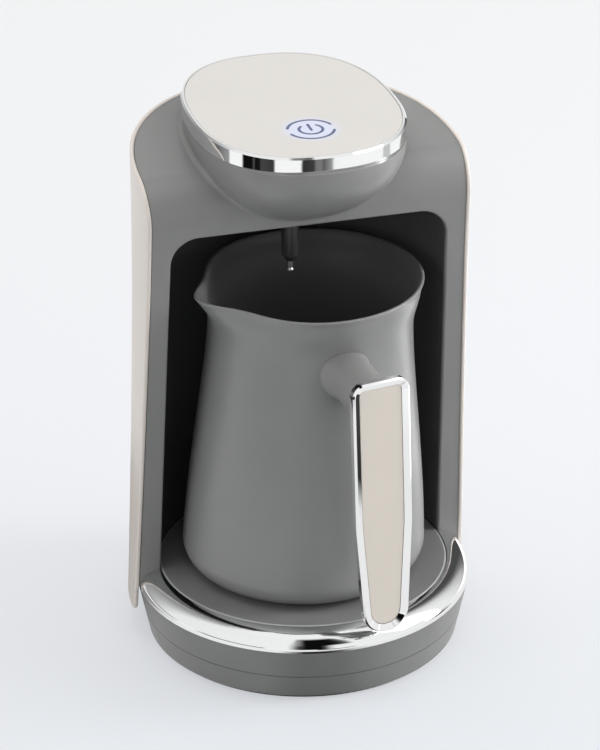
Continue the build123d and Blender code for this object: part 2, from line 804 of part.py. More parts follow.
with BuildPart() as cavity_liner:
    add(liner_block)
    add(cavity_space, mode=Mode.SUBTRACT)
    add(liner_prism, mode=Mode.INTERSECT)
    with BuildSketch(Plane.XY.offset(leg_foot)):
        Circle(cavity_half_width(leg_foot) + liner_wall + liner_foot_flange)
        Circle(cavity_half_width(leg_foot) + liner_wall / 2, mode=Mode.SUBTRACT)
        with Locations((0, -60)):
            Rectangle(200, 2 * (60 + flange_front_y), mode=Mode.SUBTRACT)
        with Locations(*on_circle(tower_screw_circle, tower_screw_angles)):
            Circle(screw_radius + gap, mode=Mode.SUBTRACT)
        with Locations((0, cavity_half_width(leg_foot) + liner_wall + loom_notch_depth / 2)):
            Rectangle(loom_notch_width, loom_notch_depth, mode=Mode.SUBTRACT)
    extrude(amount=2)
    with Locations((probe_x, probe_y, cavity_ceiling + liner_wall / 2)):
        Cylinder(probe_shank_radius + gap / 2, 2 * liner_wall, mode=Mode.SUBTRACT)
cavity_liner.part.label = "cavity_liner"

tower_screws = [
    screw(x, y, leg_foot + 2, tower_screw_length - 0.5, -1)
    for x, y in on_circle(tower_screw_circle, tower_screw_angles)
]

# ================================================================== head
with BuildPart() as head_chrome_ring:
    with BuildSketch(Plane.XY.offset(head_ring_foot + 0.1)):
        with BuildLine():
            Spline(*head_outline(0), periodic=True)
        make_face()
        with BuildLine():
            Spline(*head_outline(head_ring_wall), periodic=True)
        make_face(mode=Mode.SUBTRACT)
    extrude(amount=head_top - head_ring_foot - 0.1)
    chamfer(head_chrome_ring.faces().sort_by(Axis.Z)[-1].edges().sort_by(SortBy.LENGTH)[-1], head_ring_bevel)
    panel_underside = head_top - panel_thickness
    with BuildSketch(Plane.XY.offset(panel_underside - head_ring_ledge_height)):
        with BuildLine():
            Spline(*head_outline(head_ring_wall / 2), periodic=True)
        make_face()
        with BuildLine():
            Spline(*head_outline(head_ring_wall + head_ring_ledge), periodic=True)
        make_face(mode=Mode.SUBTRACT)
    extrude(amount=head_ring_ledge_height)
head_chrome_ring.part.label = "head_chrome_ring"

post_places = [
    (x, head_centre_y + y)
    for x in (-touch_board_half_x + 5, touch_board_half_x - 5)
    for y in (-touch_board_half_y + 5, touch_board_half_y - 5)
]
touch_board_top = panel_underside - light_guide_height - 0.1
with BuildPart() as head_top_panel:
    with BuildSketch(Plane.XY.offset(panel_underside + 0.05)):
        with BuildLine():
            Spline(*head_outline(head_ring_wall + 0.1), periodic=True)
        make_face()
    extrude(amount=panel_thickness - 0.05)
    fillet(head_top_panel.faces().sort_by(Axis.Z)[-1].edges(), 0.4)
    with BuildSketch(Plane.XY.offset(touch_board_top + 0.05)):
        with Locations(*post_places):
            Circle(touch_board_post_radius)
    extrude(amount=panel_underside - touch_board_top)
    with BuildSketch(Plane.XY.offset(touch_board_top)):
        with Locations(*post_places):
            Circle(screw_radius + screw_fit)
    extrude(amount=3.4, mode=Mode.SUBTRACT)
head_top_panel.part.label = "head_top_panel"

with BuildPart() as touch_board:
    with BuildSketch(Plane.XY.offset(touch_board_top - board_thickness)):
        with Locations((0, head_centre_y)):
            RectangleRounded(2 * touch_board_half_x, 2 * touch_board_half_y, 6)
        with Locations(*post_places):
            Circle(screw_radius + gap, mode=Mode.SUBTRACT)
    extrude(amount=board_thickness)
touch_board.part.label = "touch_board"

panel_screws = [screw(x, y, touch_board_top - board_thickness, board_thickness + 3.0) for x, y in post_places]

led_places = [(x, icon_y + y) for x, y in on_circle(7.5, (45, 135, 225, 315))]
with BuildPart() as icon_light_guide:
    with BuildSketch(Plane.XY.offset(touch_board_top + 0.05)):
        with Locations((0, icon_y)):
            Circle(light_guide_radius)
        with Locations(*led_places):
            Circle(1.7, mode=Mode.SUBTRACT)
    extrude(amount=light_guide_height - 0.6)
    with BuildSketch(Plane.XY.offset(touch_board_top + 0.05 + light_guide_height - 0.6)):
        with Locations((0, icon_y)):
            Circle(light_guide_radius)
    extrude(amount=0.6)
icon_light_guide.part.label = "icon_light_guide"

with BuildPart() as status_leds:
    with BuildSketch(Plane.XY.offset(touch_board_top)):
        with Locations(*led_places):
            Rectangle(2, 1.6)
    extrude(amount=0.9)
status_leds.part.label = "status_leds"

with BuildPart() as buzzer:
    with BuildSketch(Plane.XY.offset(touch_board_top - board_thickness)):
        with Locations((14, head_centre_y + 14)):
            Circle(buzzer_radius)
    extrude(amount=-buzzer_height)
    with BuildSketch(Plane.XY.offset(touch_board_top - board_thickness - buzzer_height)):
        with Locations((14, head_centre_y + 14)):
            Circle(1.2)
    extrude(amount=1.5, mode=Mode.SUBTRACT)
buzzer.part.label = "buzzer"

with BuildPart() as control_components:
    with BuildSketch(Plane.XY.offset(touch_board_top - board_thickness)):
        with Locations((-8, head_centre_y - 4)):
            Rectangle(10, 10)
    extrude(amount=-1.6)
    with BuildSketch(Plane.XY.offset(touch_board_top - board_thickness)):
        with Locations((0, loom_board_y)):
            Rectangle(12, 6)
    extrude(amount=-5)
control_components.part.label = "control_components"

# ================================================================== foam probe
with BuildPart() as probe_body:
    with BuildSketch(Plane((probe_x, probe_y, 0), z_dir=(0, -1, 0), x_dir=(1, 0, 0))):
        stem_top = cavity_ceiling - 0.1
        tip_foot = probe_tip_end + probe_tip_length
        with BuildLine():
            Polyline(
                (0, tip_foot),
                (probe_tip_radius + 0.6, tip_foot),
                (probe_radius, tip_foot + probe_taper_length),
                (probe_radius, stem_top - probe_collar_height),
                (probe_collar_radius, stem_top - probe_collar_height),
                (probe_collar_radius, stem_top),
                (probe_shank_radius, stem_top),
                (probe_shank_radius, stem_top + probe_shank_rise),
                (0, stem_top + probe_shank_rise),
                close=True,
            )
        make_face()
    revolve(axis=Axis((probe_x, probe_y, 0), (0, 0, 1)))
    with BuildSketch(Plane.XY.offset(tip_foot)):
        with Locations((probe_x, probe_y)):
            Circle(probe_tip_radius + screw_fit)
    extrude(amount=probe_tip_seat, mode=Mode.SUBTRACT)
probe_body.part.label = "probe_body"

ball_height = probe_tip_end + probe_ball_radius
with BuildPart() as probe_tip:
    with BuildSketch(Plane.XY.offset(ball_height)):
        with Locations((probe_x, probe_y)):
            Circle(probe_tip_radius)
    extrude(amount=tip_foot + probe_tip_seat - 1 - ball_height)
    with Locations((probe_x, probe_y, ball_height)):
        Sphere(probe_ball_radius)
probe_tip.part.label = "probe_tip"

with BuildPart() as probe_nut:
    with BuildSketch(Plane.XY.offset(cavity_ceiling + liner_wall + 0.05)):
        with Locations((probe_x, probe_y)):
            RegularPolygon(probe_nut_width / 2, 6, major_radius=False)
            Circle(probe_shank_radius + screw_fit, mode=Mode.SUBTRACT)
    extrude(amount=probe_nut_height)
probe_nut.part.label = "probe_nut"

# ================================================================== wiring between base and head
loom_points = (
    (0, loom_foot_y - 16.8, 12),
    (0, loom_foot_y - 5.8, 14),
    (0, loom_foot_y, 25.5),
    (0, loom_y, 60),
    (0, loom_y, cavity_ceiling - 5.8),
    (0, loom_y - 7.6, shoulder_height - 13.1),
    (0, loom_board_y + 18, shoulder_height - 6.1),
    (0, loom_board_y, shoulder_height - 2.1),
    (0, loom_board_y, touch_board_top - board_thickness - 5.8),
)
with BuildPart() as wiring_loom:
    with BuildLine() as loom_path:
        FilletPolyline(*loom_points, radius=loom_bend)
    with BuildSketch(Plane(loom_path.line @ 0, z_dir=loom_path.line % 0)):
        Circle(loom_radius)
    sweep()
wiring_loom.part.label = "wiring_loom"

# ================================================================== jug
jug_frame = Plane(
    origin=(0, 0, 0),
    x_dir=(cos(radians(jug_turn)), sin(radians(jug_turn)), 0),
    z_dir=(0, 0, 1),
)
lip_side_angles = (0, 5, 10, 15, 20, 26, 33, 42, 54, 70, 90, 115, 145)


def jug_radius(z):
    """Outside radius of the round body: a belly that tapers to a waist and flares to the rim."""
    waist_height = jug_height - jug_neck_height
    height = max(0, z - jug_foot)
    if height < waist_height:
        fade = (1 - (height / waist_height) ** jug_belly_power) ** jug_waist_power
        return jug_waist_radius + (jug_foot_radius - jug_waist_radius) * fade
    flare = ((height - waist_height) / jug_neck_height) ** jug_neck_power
    return jug_waist_radius + (jug_rim_radius - jug_waist_radius) * flare


def jug_section(z, inset):
    """Round section; near the rim the pouring lip is drawn out and the wall beside it drawn in."""
    growth = max(0, 1 - (jug_top - z) / lip_depth) ** lip_growth
    centre = jug_lean * (z - jug_foot) / jug_height
    points = []
    for angle in [-angle for angle in reversed(lip_side_angles[1:])] + list(lip_side_angles) + [180]:
        lip = lip_reach * exp(-(((angle - lip_turn) / lip_width) ** 2))
        hollow = lip_hollow * exp(-abs((angle - lip_turn) / lip_hollow_width) ** 3)
        radius = jug_radius(z) + growth * (lip - hollow) - inset
        points.append((centre - radius * cos(radians(angle)), -radius * sin(radians(angle))))
    return points


def jug_block(inset, low, high, count):
    with BuildPart() as block:
        for z in even_steps(low, high, count):
            with BuildSketch(jug_frame.offset(z)):
                with BuildLine():
                    Spline(*jug_section(z, inset), periodic=True)
                make_face()
        loft()
    return block.part


with BuildPart() as jug_space:
    add(jug_block(jug_wall, jug_foot + jug_floor, jug_top, 20))
    fillet(jug_space.faces().sort_by(Axis.Z)[0].edges(), jug_foot_round - jug_wall)
outward = jug_frame.x_dir.rotate(Axis.Z, -90)


def across_handle(reach, height):
    """A plane square to the post, at a distance from the jug's axis; its y axis points up."""
    return Plane(origin=outward * reach + Vector(0, 0, height), x_dir=jug_frame.x_dir, z_dir=outward)


stud_foot = jug_radius(post_height) - jug_wall / 2
screw_bore_start = stud_foot + 1.5  # the wall closes the bore towards the coffee
with BuildPart() as jug_body:
    add(jug_block(0, jug_foot, jug_top, 21))
    fillet(jug_body.faces().sort_by(Axis.Z)[0].edges(), jug_foot_round)
    add(jug_space.part, mode=Mode.SUBTRACT)
    fillet(jug_body.faces().sort_by(Axis.Z)[-1].edges(), jug_rim_round)
    with BuildSketch(across_handle(stud_foot, post_height)):
        Circle(stud_radius)
    extrude(amount=stud_reach)
    with BuildSketch(across_handle(screw_bore_start, post_height)):
        Circle(handle_screw_radius + screw_fit)
    extrude(amount=stud_reach, mode=Mode.SUBTRACT)
jug_body.part.label = "jug_body"

handle_top = outward * handle_top_reach + Vector(0, 0, handle_top_height)
handle_end = outward * handle_foot_reach + Vector(0, 0, handle_foot_height)
handle_up = (handle_top - handle_end).normalized()
handle_length = (handle_top - handle_end).length
handle_face = Plane(
    origin=(handle_top + handle_end) / 2,
    x_dir=jug_frame.x_dir,
    z_dir=jug_frame.x_dir.cross(handle_up),
)


def handle_outline(inset):
    """The handle seen from the front: square at the top, tapering to a round lower end."""
    side = handle_half_width - inset
    end_side = handle_foot_half_width - inset
    end = handle_length / 2 - inset
    with BuildSketch(Plane.XY) as outline:
        with BuildLine():
            Polyline(
                (-side, end),
                (side, end),
                (side, handle_taper_start),
                (end_side, -end),
                (-end_side, -end),
                (-side, handle_taper_start),
                close=True,
            )
        make_face()
        fillet(outline.vertices().group_by(Axis.Y)[1], handle_taper_round)
        fillet(outline.vertices().group_by(Axis.Y)[0], handle_foot_corner - inset)
        fillet(outline.vertices().group_by(Axis.Y)[-1], handle_corner - inset)
    return outline.sketch


def handle_layer(near, near_inset, far, far_inset):
    """The solid between two depths behind the handle's face, its outline moved in at each."""
    with BuildPart() as layer:
        with BuildSketch(handle_face.offset(-near)):
            add(handle_outline(near_inset))
        with BuildSketch(handle_face.offset(-far)):
            add(handle_outline(far_inset))
        loft(ruled=True)
    return layer.part


handle_axis = Axis(handle_face.origin, handle_face.z_dir)
handle_lean = (handle_foot_reach - handle_top_reach) / (handle_top_height - handle_foot_height)
core_front = bezel_thickness - bezel_channel + gap / 2
screw_face_reach = handle_top_reach + (handle_top_height - post_height) * handle_lean
screw_seat_reach = screw_face_reach - core_front - handle_screw_sink
slope_width = bezel_edge_bevel + bezel_ridge
with BuildPart() as handle_bezel:
    with BuildSketch(handle_face.offset(-bezel_thickness)):
        add(handle_outline(0))
    extrude(amount=bezel_thickness)
    chamfer(handle_bezel.faces().sort_by(handle_axis)[-1].edges(), bezel_edge_bevel)
    chamfer(handle_bezel.faces().sort_by(handle_axis)[0].edges(), bezel_back_bevel)
    add(handle_layer(0, slope_width, insert_depth, bezel_width), mode=Mode.SUBTRACT)
    with BuildSketch(handle_face.offset(-insert_depth)):
        add(handle_outline(bezel_width))
    extrude(amount=-insert_thickness - gap / 2, mode=Mode.SUBTRACT)
    with BuildSketch(handle_face.offset(-bezel_thickness)):
        add(handle_outline(bezel_back_wall))
    extrude(amount=bezel_channel, mode=Mode.SUBTRACT)
    with BuildSketch(across_handle(screw_seat_reach, post_height)):
        Circle(handle_screw_head + gap)
    extrude(amount=core_front, mode=Mode.SUBTRACT)
handle_bezel.part.label = "handle_bezel"

with BuildPart() as handle_insert:
    with BuildSketch(handle_face.offset(-insert_depth - insert_thickness)):
        add(handle_outline(bezel_width + gap / 2))
    extrude(amount=insert_thickness)
    fillet(handle_insert.faces().sort_by(handle_axis)[-1].edges(), insert_round)
handle_insert.part.label = "handle_insert"

with BuildPart() as post_block:
    for reach in even_steps(post_start_reach, post_end_reach, 9):
        swell = post_flare * max(0, (post_neck_reach - reach) / (post_neck_reach - post_start_reach)) ** 2
        spread = max(0, (reach - post_neck_reach) / (post_end_reach - post_neck_reach)) ** 1.5
        half_x = post_half_width + swell - post_narrowing * spread
        top = post_height + post_rise + swell - post_top_drop * spread
        foot = post_height - post_fall - swell - post_foot_drop * spread
        half_z = (top - foot) / 2
        with BuildSketch(across_handle(reach, foot + half_z)):
            with BuildLine():
                Spline(*superellipse(half_x, half_z, half_z, 0, post_plan_power, 24), periodic=True)
            make_face()
    loft()

core_inset = bezel_back_wall + gap / 2
core_shoulder = bezel_thickness + core_land
with BuildPart() as handle_core:
    add(handle_layer(core_front, core_inset, core_shoulder, core_inset))
    add(handle_layer(core_shoulder, core_inset, handle_thickness, core_inset + core_taper))
    add(post_block.part)
    add(jug_block(-gap / 2, post_height - 3 * post_fall, jug_top, 13), mode=Mode.SUBTRACT)
    with BuildSketch(across_handle(stud_foot, post_height)):
        Circle(stud_radius + gap / 2)
    extrude(amount=stud_reach + gap, mode=Mode.SUBTRACT)
    with BuildSketch(across_handle(stud_foot, post_height)):
        Circle(handle_screw_radius + gap)
    extrude(amount=handle_foot_reach - stud_foot, mode=Mode.SUBTRACT)
    with BuildSketch(across_handle(screw_seat_reach, post_height)):
        Circle(handle_screw_head + gap)
    extrude(amount=core_front, mode=Mode.SUBTRACT)
handle_core.part.label = "handle_core"

screw_start = screw_bore_start + gap / 2
with BuildPart() as handle_screw:
    with BuildSketch(across_handle(screw_start, post_height)):
        Circle(handle_screw_radius)
    extrude(amount=screw_seat_reach - screw_start)
    with BuildSketch(across_handle(screw_seat_reach, post_height)):
        Circle(handle_screw_head)
    extrude(amount=handle_screw_head_height)
handle_screw.part.label = "handle_screw"

# ================================================================== output
fastener_groups = {
    "clamp_screws": clamp_screws,
    "plate_screws": plate_screws,
    "tower_screws": tower_screws,
    "panel_screws": panel_screws,
    "base_screws": [screw(x, y, screw_seat, base_screw_length - 1.5) for x, y in screw_places],
}
for name, screws in fastener_groups.items():
    export_step(Compound(label=name, children=screws), f"parts/{name}.step")

pieces = (
    foot_ring, bottom_cover, chrome_base_trim, base_housing, heating_plate, plate_seal,
    heat_spreader, heating_element, heater_clamp, thermostat, thermal_fuse, plate_clips,
    power_board, power_components, terminal_block, cord_gland,
    rear_shell, front_cover, cavity_liner,
    head_chrome_ring, head_top_panel, touch_board, icon_light_guide, status_leds, buzzer,
    control_components, probe_body, probe_tip, probe_nut, wiring_loom,
    jug_body, handle_core, handle_bezel, handle_insert, handle_screw,
)
for piece in pieces:
    export_step(piece.part, f"parts/{piece.part.label}.step")
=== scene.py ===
import math

import bmesh
import bpy
from mathutils import Matrix, Vector


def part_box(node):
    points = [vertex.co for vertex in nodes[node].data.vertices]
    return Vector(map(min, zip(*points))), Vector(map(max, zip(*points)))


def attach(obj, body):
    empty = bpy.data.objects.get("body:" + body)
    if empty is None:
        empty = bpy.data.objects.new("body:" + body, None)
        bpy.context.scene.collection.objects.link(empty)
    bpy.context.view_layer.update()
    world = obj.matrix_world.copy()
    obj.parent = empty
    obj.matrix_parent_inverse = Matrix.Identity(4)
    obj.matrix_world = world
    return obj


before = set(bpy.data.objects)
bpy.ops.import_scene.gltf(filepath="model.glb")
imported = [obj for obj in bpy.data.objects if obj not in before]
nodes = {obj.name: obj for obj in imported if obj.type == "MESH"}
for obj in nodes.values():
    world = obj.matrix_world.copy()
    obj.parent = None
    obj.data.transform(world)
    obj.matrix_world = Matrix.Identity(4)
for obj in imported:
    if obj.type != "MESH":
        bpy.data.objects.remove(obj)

# Looks of the electric Turkish coffee maker: the CAD pieces get their finishes, the lit touch
# symbol that CAD leaves out is added, and the whole stands on a pale floor in soft studio light.
# Everything is in metres, with +Z up and the front facing -Y.

scene = bpy.context.scene
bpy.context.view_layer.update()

# ---------------------------------------------------------------- camera
CAMERA_PLACE = Vector((-0.4398, -1.5084, 0.9234))
CAMERA_RIGHT = Vector((0.960244, -0.279164, 0.0))
CAMERA_LOOK = Vector((0.249174, 0.857095, -0.450878))
CAMERA_LENS = 184.1
CAMERA_SENSOR = 36
CAMERA_CLIP = (0.1, 20)

camera = bpy.data.objects.new("camera", bpy.data.cameras.new("camera"))
scene.collection.objects.link(camera)
camera.data.lens = CAMERA_LENS
camera.data.sensor_width = CAMERA_SENSOR
camera.data.clip_start, camera.data.clip_end = CAMERA_CLIP
camera_up = CAMERA_RIGHT.cross(CAMERA_LOOK)
camera_turn = Matrix((CAMERA_RIGHT, camera_up, -CAMERA_LOOK)).transposed().to_4x4()
camera.matrix_world = Matrix.Translation(CAMERA_PLACE) @ camera_turn
scene.camera = camera

# ---------------------------------------------------------------- finishes
GRAIN_DEPTH = 0.00004


def shade(color, factor):
    return tuple(min(1.0, channel * factor) for channel in color)


class Nodes:
    """Short calls that add nodes to a node tree."""

    def __init__(self, tree, space):
        self.tree = tree
        coordinates = self.node("ShaderNodeTexCoord")
        self.place = coordinates.outputs[space]
        self.normal = coordinates.outputs["Normal"]

    def node(self, kind, **settings):
        made = self.tree.nodes.new(kind)
        for key, value in settings.items():
            if key in made.inputs:
                made.inputs[key].default_value = value
            else:
                setattr(made, key, value)
        return made

    def link(self, source, target):
        self.tree.links.new(source, target)

    def math(self, operation, first, second=0.0):
        made = self.node("ShaderNodeMath", operation=operation)
        for index, value in enumerate((first, second)):
            if isinstance(value, (int, float)):
                made.inputs[index].default_value = value
            else:
                self.link(value, made.inputs[index])
        return made.outputs[0]

    def axes(self, vector):
        made = self.node("ShaderNodeSeparateXYZ")
        self.link(vector, made.inputs[0])
        return made.outputs

    def scaled(self, factors):
        made = self.node("ShaderNodeMapping", Scale=factors)
        self.link(self.place, made.inputs["Vector"])
        return made.outputs["Vector"]

    def noise(self, scale, detail=4.0, place=None):
        made = self.node("ShaderNodeTexNoise", Scale=scale, Detail=detail)
        self.link(place or self.place, made.inputs["Vector"])
        return made.outputs[0]

    def cells(self, scale):
        made = self.node("ShaderNodeTexVoronoi", Scale=scale)
        self.link(self.place, made.inputs["Vector"])
        return made.outputs["Distance"]

    def rings(self, scale):
        """Rings round the upright axis."""
        made = self.node("ShaderNodeTexWave", wave_type="RINGS", rings_direction="Z", Scale=scale)
        self.link(self.place, made.inputs["Vector"])
        return made.outputs[0]

    def distance(self, x, y):
        """The distance from the upright line through (x, y)."""
        across, along, _ = self.axes(self.place)
        away_x = self.math("SUBTRACT", across, x)
        away_y = self.math("SUBTRACT", along, y)
        squares = self.math("ADD", self.math("POWER", away_x, 2), self.math("POWER", away_y, 2))
        return self.math("SQRT", squares)

    def turn(self, y):
        """How far round from straight ahead a place is, seen from (0, y), as 0 to 1."""
        across, along, _ = self.axes(self.place)
        ahead = self.math("SUBTRACT", y, along)
        angle = self.math("ARCTAN2", across, ahead)
        return self.spread(angle, 0, 1, -math.pi, math.pi)

    def spread(self, source, low, high, start=0.3, end=0.7):
        """The source's range from start to end, laid over low to high."""
        made = self.node("ShaderNodeMapRange")
        limits = {"From Min": start, "From Max": end, "To Min": low, "To Max": high}
        for key, value in limits.items():
            made.inputs[key].default_value = value
        self.link(source, made.inputs["Value"])
        return made.outputs[0]

    def ramp(self, source, *stops):
        made = self.node("ShaderNodeValToRGB")
        elements = made.color_ramp.elements
        for element, (position, color) in zip(elements, (stops[0], stops[-1])):
            element.position = position
            element.color = (*color, 1)
        for position, color in stops[1:-1]:
            elements.new(position).color = (*color, 1)
        self.link(source, made.inputs["Fac"])
        return made.outputs["Color"]

    def bands(self, turn, levels):
        """Levels of gray by degrees from straight ahead."""
        stops = [((angle + 180) / 360, (level, level, level)) for angle, level in levels]
        return self.ramp(turn, *stops)

    def mix(self, factor, first, second):
        made = self.node("ShaderNodeMix", data_type="RGBA")
        self.link(factor, made.inputs[0])
        for socket, value in ((made.inputs[6], first), (made.inputs[7], second)):
            if isinstance(value, tuple):
                socket.default_value = (*value, 1)
            else:
                self.link(value, socket)
        return made.outputs[2]

    def mix_shaders(self, factor, first, second):
        made = self.node("ShaderNodeMixShader")
        for source, socket in zip((factor, first, second), made.inputs):
            self.link(source, socket)
        return made.outputs[0]


class Finish(Nodes):
    """A material with a Principled shader, and short calls that feed it."""

    def __init__(self, name, color, roughness, metallic=0.0, **values):
        self.material = bpy.data.materials.new(name)
        self.material.use_nodes = True
        super().__init__(self.material.node_tree, "Object")
        self.shader = self.tree.nodes["Principled BSDF"]
        self.shader.inputs["Base Color"].default_value = (*color, 1)
        self.shader.inputs["Roughness"].default_value = roughness
        self.shader.inputs["Metallic"].default_value = metallic
        for key, value in values.items():
            self.shader.inputs[key.replace("_", " ")].default_value = value

    def paint(self, source):
        self.link(source, self.shader.inputs["Base Color"])

    def polish(self, source):
        self.link(source, self.shader.inputs["Roughness"])

    def haze(self, scale, low, high, detail=4.0, start=0.3, end=0.7):
        """An uneven polish, with a roughness of low to high."""
        self.polish(self.spread(self.noise(scale, detail), low, high, start, end))

    def bump(self, height, strength, depth):
        made = self.node("ShaderNodeBump", Strength=strength, Distance=depth)
        self.link(height, made.inputs["Height"])
        target = self.shader.inputs["Normal"]
        if target.is_linked:
            self.link(target.links[0].from_socket, made.inputs["Normal"])
        self.link(made.outputs["Normal"], target)

    def grain(self, scale, strength, depth=GRAIN_DEPTH, detail=2):
        self.bump(self.noise(scale, detail), strength, depth)

    def cloud(self, color, drift, scale=28.0):
        """The colour, a little lighter and darker in soft clouds."""
        darker, lighter = shade(color, 1 - drift), shade(color, 1 + drift)
        return self.ramp(self.noise(scale), (0.3, darker), (0.7, lighter))


def moulded(
    name, color, roughness, grain=0.25, drift=0.035, grain_scale=2600, uneven=0.12, **values
):
    """Moulded plastic: faint clouds, an uneven polish and a fine eroded grain."""
    finish = Finish(name, color, roughness, **values)
    finish.paint(finish.cloud(color, drift))
    smooth, dull = roughness * (1 - uneven), roughness * (1 + uneven)
    finish.haze(70, low=smooth, high=dull, detail=3, start=0.2, end=0.8)
    finish.grain(grain_scale, strength=grain)
    return finish


def bare_metal(name, color, roughness, brush):
    """Metal with fine lines along one axis, as drawing, turning or plating leaves it."""
    finish = Finish(name, color, roughness, metallic=1.0)
    lines = finish.noise(220, detail=3, place=finish.scaled(brush))
    finish.paint(finish.cloud(color, drift=0.06, scale=160.0))
    finish.polish(finish.spread(lines, roughness * 0.75, roughness * 1.3))
    finish.bump(lines, strength=0.2, depth=0.00005)
    return finish


GRAY = (0.205, 0.207, 0.203)
# painted shade: the same gray plastic as the front, made darker for the base and its cover
SHADED_BASE_GRAY = (0.164, 0.166, 0.164)
JUG_GRAY = (0.204, 0.206, 0.204)
JUG_INSIDE = (0.125, 0.128, 0.126)
PLATE_GRAY = (0.185, 0.187, 0.184)
# painted highlight: the lighter colour laid along the plate's edge
PLATE_EDGE_HIGHLIGHT = (0.4, 0.41, 0.41)
CREAM = (0.645, 0.593, 0.548)
PANEL_CREAM = (0.572, 0.553, 0.525)
INSERT_CREAM = (0.565, 0.523, 0.47)
GLOW = (0.56, 0.585, 0.71)
CHROME = (0.9, 0.905, 0.91)
# painted light: the black plastic made lighter so the niche walls look lit; the probe keeps the
# plain black below
BLACK = (0.095, 0.096, 0.095)
PROBE_BLACK = (0.025, 0.025, 0.025)
RUBBER = (0.022, 0.022, 0.022)
ALUMINIUM = (0.55, 0.55, 0.54)
STEEL = (0.6, 0.6, 0.6)
HEATED_STEEL = (0.4, 0.37, 0.33)
SOLDER_MASK = (0.02, 0.16, 0.07)
VIA_GOLD = (0.7, 0.55, 0.25)
SLEEVE = (0.55, 0.53, 0.47)
COMPONENT = (0.05, 0.055, 0.07)
TERMINAL = (0.72, 0.7, 0.62)
CLEAR = (0.9, 0.92, 0.95)
LAMP_FACE = (0.5, 0.55, 0.8)
LAMP_LIGHT = (0.6, 0.65, 1.0)
ICON_CENTER = (0.0, -0.0128)
ICON_RADIUS = 0.0104
JUG_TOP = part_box("jug_body")[1][2]
PLATE_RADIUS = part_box("heating_plate")[1][0]
RIM_DEPTH = 0.012  # a face of the jug that looks up is its rim down to here, then its inside
INSIDE_DULLER = 0.12  # how much rougher the inside is
INSIDE_FACING = -0.25  # a face that looks this far inward belongs to the jug's inside
EDGE_HIGHLIGHT_BAND = (0.0011, 0.0005)  # how far in from the plate's edge the painted highlight starts and is full
GLOW_REACH = (0.75, 1.45)  # where the glow starts to fade and ends, in radii of the symbol
TOP_FACING = 0.9  # a face that looks this far up is the top of the panel


def jug_coating():
    """Satin gray outside, and a darker release coating inside."""
    finish = Finish("jug_coating", JUG_GRAY, roughness=0.4)
    radial = finish.node("ShaderNodeVectorMath", operation="NORMALIZE")
    finish.link(finish.scaled((1, 1, 0)), radial.inputs[0])
    outward = finish.node("ShaderNodeVectorMath", operation="DOT_PRODUCT")
    finish.link(radial.outputs["Vector"], outward.inputs[0])
    finish.link(finish.normal, outward.inputs[1])
    below_rim = finish.math("LESS_THAN", finish.axes(finish.place)[2], JUG_TOP - RIM_DEPTH)
    upward = finish.math("MULTIPLY", finish.axes(finish.normal)[2], below_rim)
    facing = finish.math("SUBTRACT", outward.outputs["Value"], upward)
    inside = finish.math("LESS_THAN", facing, INSIDE_FACING)
    flecks = finish.ramp(finish.cells(1500), (0.1, shade(JUG_INSIDE, 1.3)), (0.22, JUG_INSIDE))
    finish.paint(finish.mix(inside, finish.cloud(JUG_GRAY, drift=0.03), flecks))
    outside_polish = finish.spread(finish.noise(60, detail=3), low=0.31, high=0.37)
    duller = finish.math("MULTIPLY", inside, INSIDE_DULLER)
    finish.polish(finish.math("ADD", outside_polish, duller))
    finish.grain(2200, strength=0.22)
    return finish


def plate_metal():
    """Coated plate: fine turned rings, and a painted highlight that makes its edge lighter."""
    finish = Finish("plate_metal", PLATE_GRAY, roughness=0.36)
    start, full = (PLATE_RADIUS - width for width in EDGE_HIGHLIGHT_BAND)
    # painted highlight: the plate's colour turns lighter towards its edge
    edge_highlight = finish.spread(finish.distance(0, 0), 0, 1, start, full)
    plain = finish.cloud(PLATE_GRAY, drift=0.05, scale=50.0)
    finish.paint(finish.mix(edge_highlight, plain, PLATE_EDGE_HIGHLIGHT))
    finish.haze(90, low=0.32, high=0.42, detail=5)
    finish.bump(finish.rings(420), strength=0.12, depth=0.00006)
    finish.grain(1800, strength=0.15)
    return finish


def chrome():
    """Bright chrome, with the least haze."""
    finish = Finish("chrome_trim", CHROME, roughness=0.03, metallic=1.0)
    finish.paint(finish.cloud(CHROME, drift=0.012, scale=40.0))
    finish.haze(35, low=0.02, high=0.06)
    finish.grain(90, strength=0.02, depth=0.00005)
    return finish


def panel_cream():
    """The touch panel: glossy cream that glows pale lilac round its lit symbol."""
    finish = moulded(
        "cream_panel",
        PANEL_CREAM,
        roughness=0.34,
        grain=0.08,
        drift=0.012,
        uneven=0.05,
        Specular_IOR_Level=0.4,
    )
    plain = finish.shader.inputs["Base Color"].links[0].from_socket
    inner, outer = (ICON_RADIUS * reach for reach in GLOW_REACH)
    glow = finish.spread(finish.distance(*ICON_CENTER), 1, 0, start=inner, end=outer)
    top = finish.math("GREATER_THAN", finish.axes(finish.normal)[2], TOP_FACING)
    finish.paint(finish.mix(finish.math("MULTIPLY", glow, top), plain, GLOW))
    return finish


def circuit_board():
    """Green solder mask over copper tracks, with rows of vias."""
    finish = Finish("circuit_board", SOLDER_MASK, roughness=0.35)
    pattern = {
        "Scale": 140,
        "Mortar Size": 0.06,
        "Mortar Smooth": 0.2,
        "Color1": (0.018, 0.14, 0.06, 1),
        "Color2": (0.022, 0.17, 0.075, 1),
        "Mortar": (0.06, 0.3, 0.13, 1),
    }
    tracks = finish.node("ShaderNodeTexBrick", **pattern)
    finish.link(finish.place, tracks.inputs["Vector"])
    vias = finish.spread(finish.cells(420), 1, 0, start=0.14, end=0.18)
    finish.paint(finish.mix(vias, tracks.outputs["Color"], VIA_GOLD))
    finish.haze(120, low=0.3, high=0.42)
    finish.bump(tracks.outputs[1], strength=0.3, depth=GRAIN_DEPTH)
    return finish


